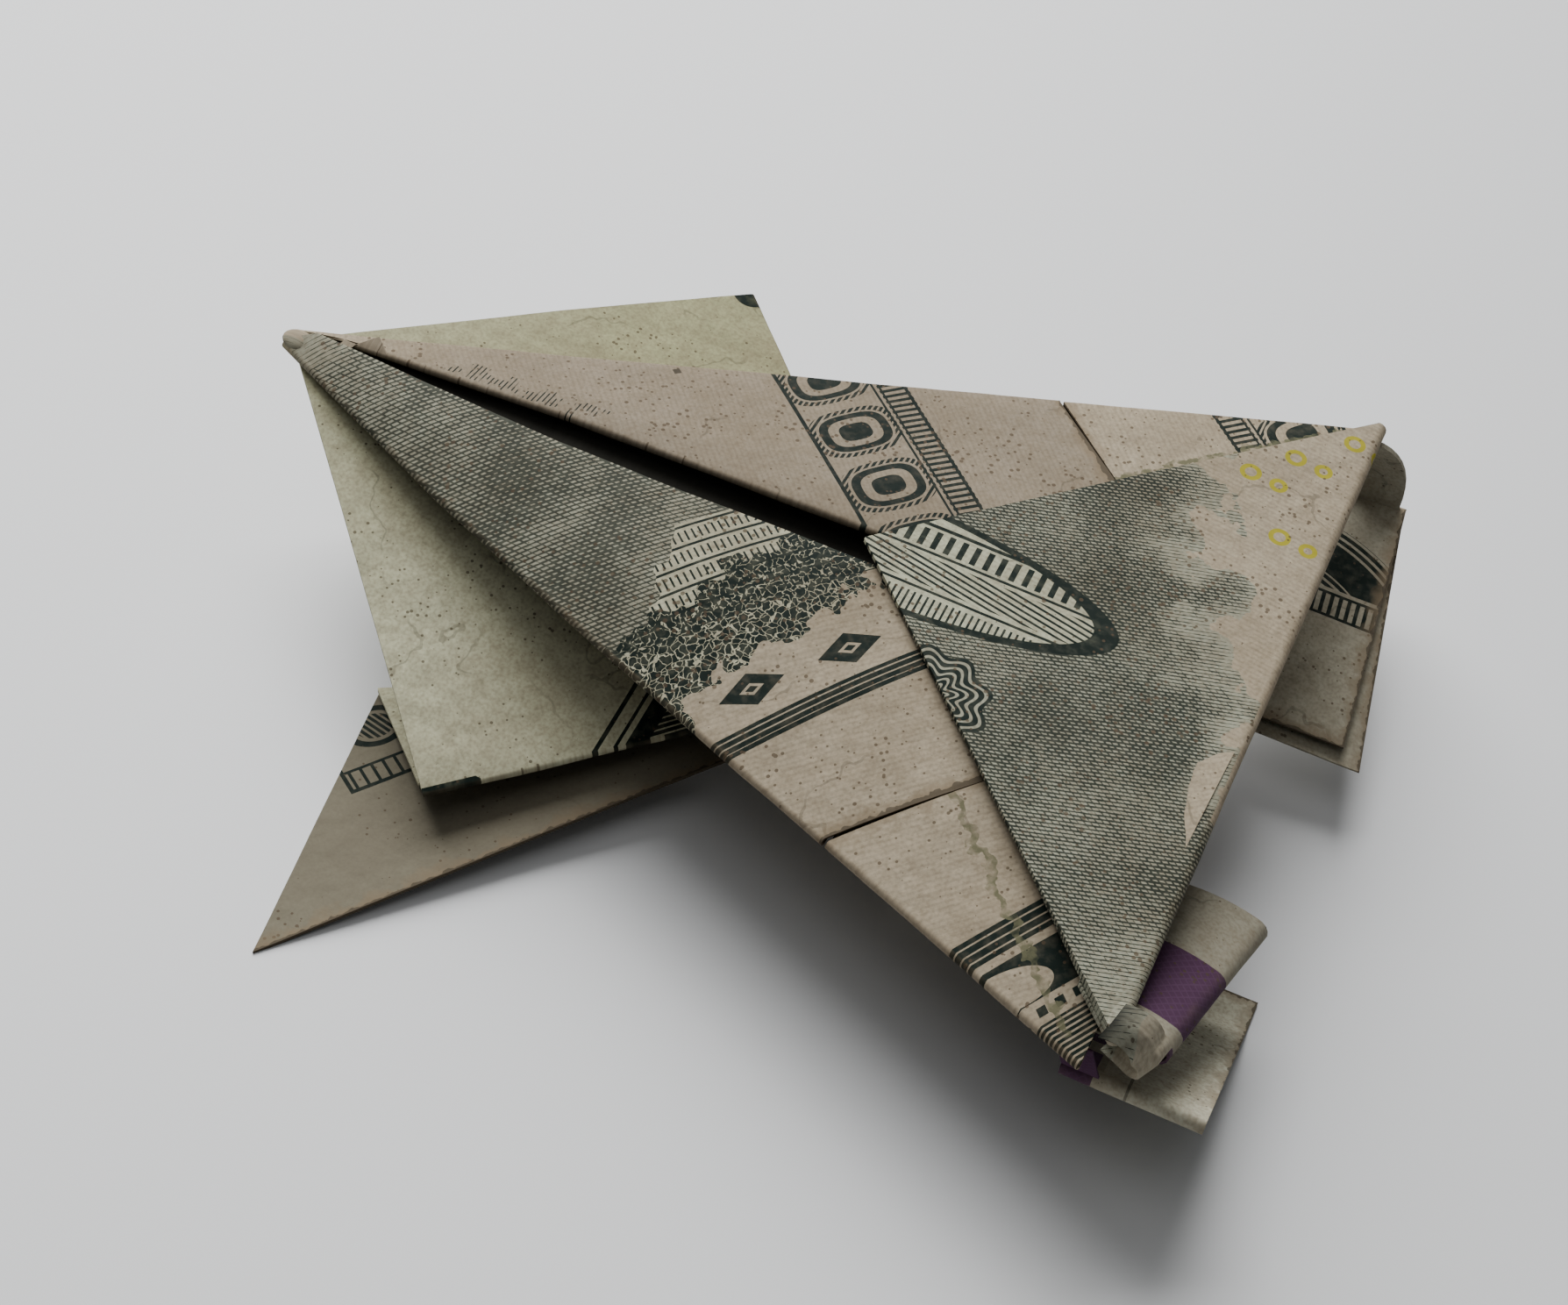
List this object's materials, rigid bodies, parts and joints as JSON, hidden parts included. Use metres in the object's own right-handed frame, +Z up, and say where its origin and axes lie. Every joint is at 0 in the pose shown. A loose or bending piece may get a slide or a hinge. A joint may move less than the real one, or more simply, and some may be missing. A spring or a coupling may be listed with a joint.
{
  "type": "origami frog",
  "caption": "Frog folded from a banknote-size printed paper sheet, with an arrowhead back, pale head flaps and strip hind legs.",
  "frame": {"origin": "centre of the bounding box in plan, on the surface that the frog stands on", "axes": "X runs from the nose to the rear fold, Y across, Z up"},
  "size_m": [0.0524, 0.0456, 0.0105],
  "materials": {
    "printed_paper": "matte"
  },
  "bodies": {
    "root": {"folded_sheet": "printed_paper"}
  },
  "joints": []
}
